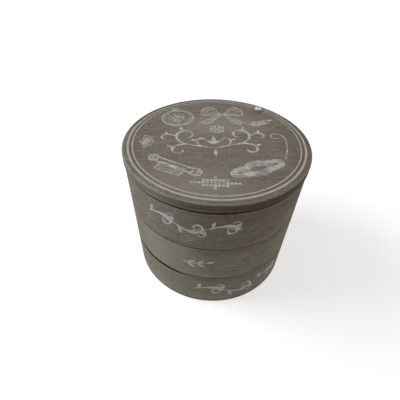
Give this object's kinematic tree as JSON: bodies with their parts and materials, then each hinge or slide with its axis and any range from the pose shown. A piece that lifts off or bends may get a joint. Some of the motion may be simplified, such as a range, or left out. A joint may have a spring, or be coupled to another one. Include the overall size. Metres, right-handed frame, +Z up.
{
  "type": "sewing box",
  "caption": "Round wooden sewing box: stacked trays with dividers under a flat lid, all swivelling sideways about an upright bolt near the rim.",
  "frame": {"origin": "centre of the underside, on the surface that the box stands on", "axes": "+Z up; -Y is the printed front; the swivel bolt stands at the back on the +X side"},
  "size_m": [0.24, 0.24, 0.2057],
  "materials": {
    "wall_wood": "grey-brown limed and waxed wood, matt, grain running round the wall",
    "lid_wood": "grey-brown limed and waxed wood, matt, worn pale along the edge",
    "floor_ply": "thin plywood, stained grey-brown, matt",
    "block_wood": "softwood block, stained grey-brown, matt",
    "divider_wood": "thin board, stained grey-brown, matt",
    "bright_steel": "bright zinc-plated steel",
    "spacer_nylon": "milky nylon",
    "chalk_print": "thin chalky print, pale grey, rubbed through in places"
  },
  "bodies": {
    "base": {"base_wall": "wall_wood", "base_floor": "floor_ply", "base_bolt_block": "block_wood", "swivel_bolt": "bright_steel", "head_washer": "bright_steel", "upper_spacer": "spacer_nylon", "middle_spacer": "spacer_nylon", "lower_spacer": "spacer_nylon", "nut_washer": "bright_steel", "lock_nut": "bright_steel"},
    "middle_tray": {"middle_wall": "wall_wood", "middle_floor": "floor_ply", "middle_bolt_block": "block_wood", "middle_divider": "divider_wood"},
    "top_tray": {"top_wall": "wall_wood", "top_floor": "floor_ply", "top_bolt_block": "block_wood", "top_divider_across": "divider_wood", "top_divider_along": "divider_wood"},
    "lid": {"lid_panel": "lid_wood"}
  },
  "joints": [
    {"name": "middle_swivel", "type": "hinge", "parent": "base", "child": "middle_tray", "pos_m": [0.05927, 0.08788, 0.0633], "axis": [0, 0, 1], "continuous": true},
    {"name": "top_swivel", "type": "hinge", "parent": "base", "child": "top_tray", "pos_m": [0.05927, 0.08788, 0.1259], "axis": [0, 0, 1], "continuous": true},
    {"name": "lid_swivel", "type": "hinge", "parent": "base", "child": "lid", "pos_m": [0.05927, 0.08788, 0.1892], "axis": [0, 0, 1], "continuous": true}
  ]
}
